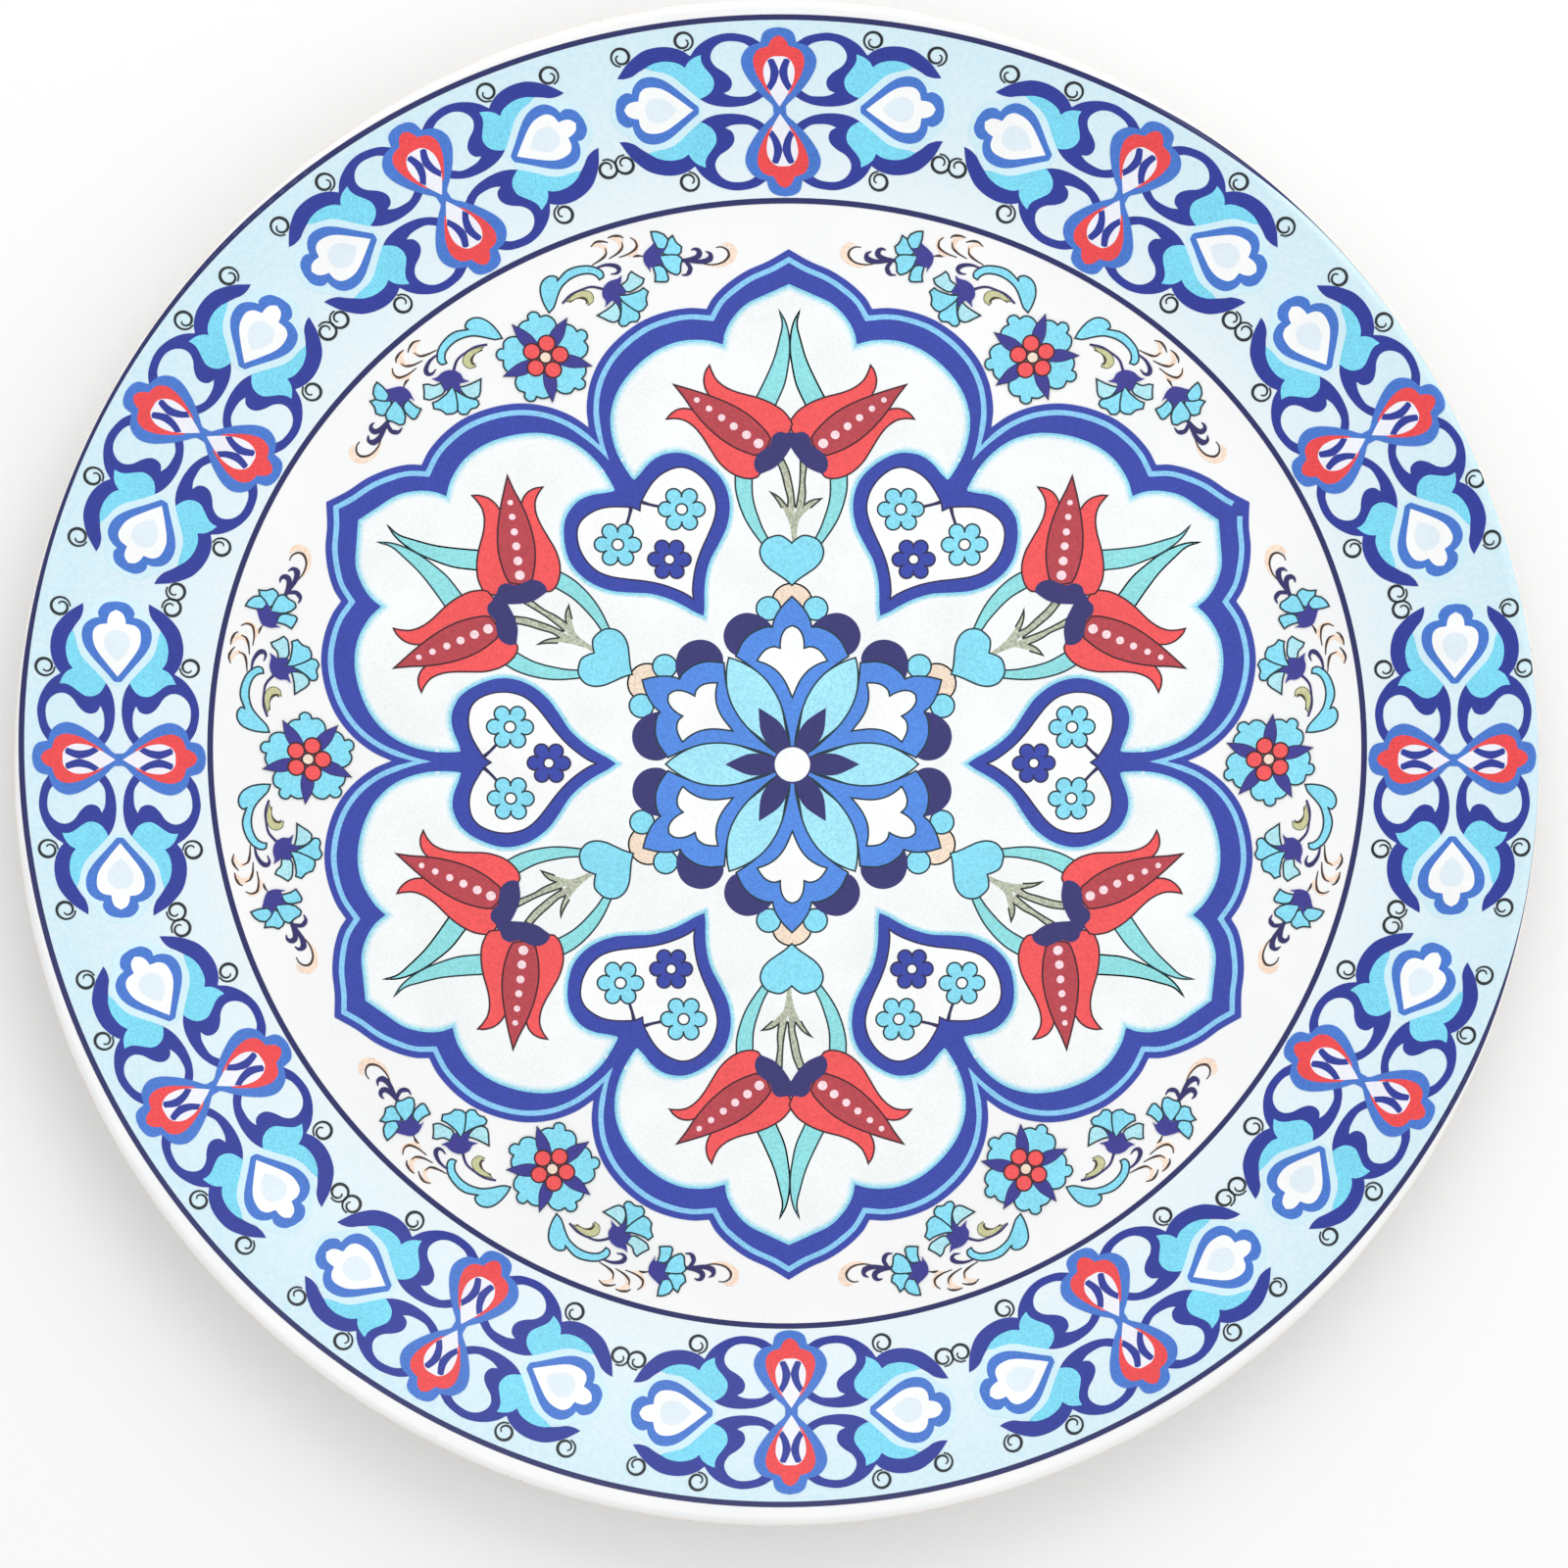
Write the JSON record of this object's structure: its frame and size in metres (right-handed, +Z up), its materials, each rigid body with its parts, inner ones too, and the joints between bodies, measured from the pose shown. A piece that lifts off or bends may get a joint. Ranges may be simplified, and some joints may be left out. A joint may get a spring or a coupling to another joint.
{
  "type": "decorated ceramic plate",
  "caption": "Shallow round glazed ceramic plate on a foot ring, with a floral medallion on the face and a scrolled border on the wide rim.",
  "frame": {"origin": "centre of the underside of the foot ring, on the surface the plate stands on", "axes": "+Z up out of the painted face along the plate's axis; +Y towards the top of the design"},
  "size_m": [0.3, 0.3, 0.0198],
  "materials": {
    "clay": "bare fired clay, warm ivory, matt",
    "white_glaze": "white glaze, satin gloss",
    "warm_white_enamel": "faintly grey white enamel",
    "pale_blue_enamel": "pale ice-blue enamel",
    "navy_enamel": "navy enamel",
    "cobalt_enamel": "cobalt violet-blue enamel",
    "royal_blue_enamel": "royal blue enamel",
    "sky_blue_enamel": "sky cyan enamel",
    "tulip_red_enamel": "coral red enamel"
  },
  "bodies": {
    "root": {"clay_body": "clay", "foot_ring": "clay", "face_glaze": "white_glaze", "base_glaze": "white_glaze", "back_glaze": "white_glaze", "rim_ground": "pale_blue_enamel", "outer_line": "navy_enamel", "inner_line": "navy_enamel", "medallion_ground": "warm_white_enamel", "medallion_band": "cobalt_enamel", "tulip_spray_1": "tulip_red_enamel", "heart_cartouche_1": "cobalt_enamel", "flower_sprig_1": "sky_blue_enamel", "tulip_spray_2": "tulip_red_enamel", "heart_cartouche_2": "cobalt_enamel", "flower_sprig_2": "sky_blue_enamel", "tulip_spray_3": "tulip_red_enamel", "heart_cartouche_3": "cobalt_enamel", "flower_sprig_3": "sky_blue_enamel", "tulip_spray_4": "tulip_red_enamel", "heart_cartouche_4": "cobalt_enamel", "flower_sprig_4": "sky_blue_enamel", "tulip_spray_5": "tulip_red_enamel", "heart_cartouche_5": "cobalt_enamel", "flower_sprig_5": "sky_blue_enamel", "tulip_spray_6": "tulip_red_enamel", "heart_cartouche_6": "cobalt_enamel", "flower_sprig_6": "sky_blue_enamel", "centre_rosette": "royal_blue_enamel", "rim_motif_1": "cobalt_enamel", "rim_motif_2": "cobalt_enamel", "rim_motif_3": "cobalt_enamel", "rim_motif_4": "cobalt_enamel", "rim_motif_5": "cobalt_enamel", "rim_motif_6": "cobalt_enamel", "rim_motif_7": "cobalt_enamel", "rim_motif_8": "cobalt_enamel", "rim_motif_9": "cobalt_enamel", "rim_motif_10": "cobalt_enamel", "rim_motif_11": "cobalt_enamel", "rim_motif_12": "cobalt_enamel"}
  },
  "joints": []
}
